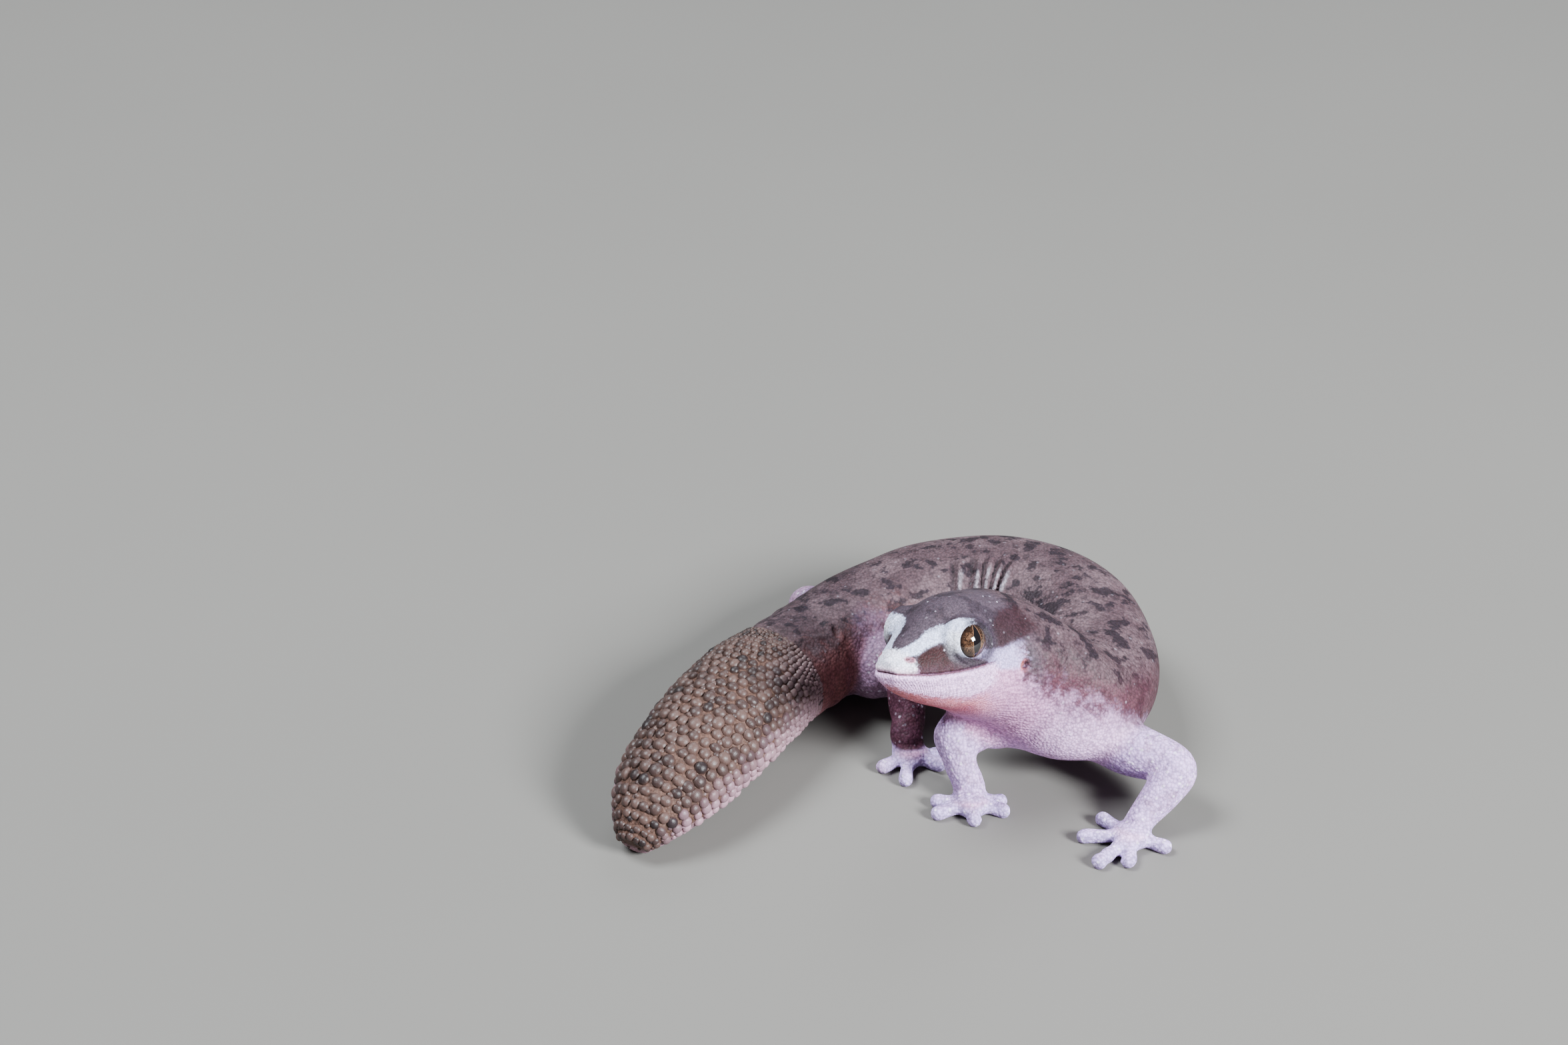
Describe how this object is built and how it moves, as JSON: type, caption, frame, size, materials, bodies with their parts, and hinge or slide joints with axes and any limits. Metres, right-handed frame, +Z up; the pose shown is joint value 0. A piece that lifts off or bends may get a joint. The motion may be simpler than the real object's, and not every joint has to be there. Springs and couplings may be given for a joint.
{
  "type": "desert fat-tailed gecko",
  "caption": "Still life-size gecko on four feet, body bent to its right, head raised, thick tail with domed scales low along the floor",
  "frame": {"origin": "on the floor, under the middle of the animal's bounding box", "axes": "+Z up from the floor the feet stand on; the picture looks along +Y, so +X is the picture's right, and the head points towards -X and -Y"},
  "size_m": [0.0463, 0.0373, 0.018],
  "materials": {
    "hide": "fine granular skin, grey-brown to mauve with darker blotches",
    "limb_hide": "fine beaded skin, pale lavender pink",
    "tail_scales": "domed scales, grey-brown, slightly glossy",
    "eye": "wet and glossy, bronze iris with a slit pupil"
  },
  "bodies": {
    "root": {"head": "hide", "neck": "hide", "chest": "hide", "trunk_front": "hide", "trunk_rear": "hide", "hips": "hide", "tail": "tail_scales", "left_foreleg": "limb_hide", "left_forefoot": "limb_hide", "right_foreleg": "limb_hide", "right_forefoot": "limb_hide", "left_hindleg": "limb_hide", "left_hindfoot": "limb_hide", "right_hindleg": "limb_hide", "right_hindfoot": "limb_hide", "left_eye": "eye", "right_eye": "eye"}
  },
  "joints": []
}
